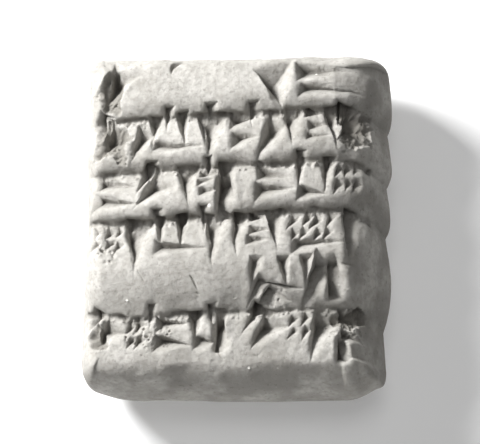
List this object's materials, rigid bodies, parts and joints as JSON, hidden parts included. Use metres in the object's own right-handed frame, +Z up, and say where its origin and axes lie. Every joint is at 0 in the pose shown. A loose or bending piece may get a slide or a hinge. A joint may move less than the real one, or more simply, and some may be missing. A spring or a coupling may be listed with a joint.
{
  "type": "cuneiform tablet",
  "caption": "Small pillow-shaped clay tablet with rows of impressed wedge strokes between ruled lines on one face, a plain domed back, worn edges and broken patches.",
  "frame": {"origin": "middle of the underside, where the tablet lies on its domed back", "axes": "+Z up, out of the written face; +Y to the head of the writing; +X to the right end of the rows"},
  "size_m": [0.0362, 0.0404, 0.0165],
  "materials": {
    "clay": null
  },
  "bodies": {
    "root": {"tablet": "clay"}
  },
  "joints": []
}
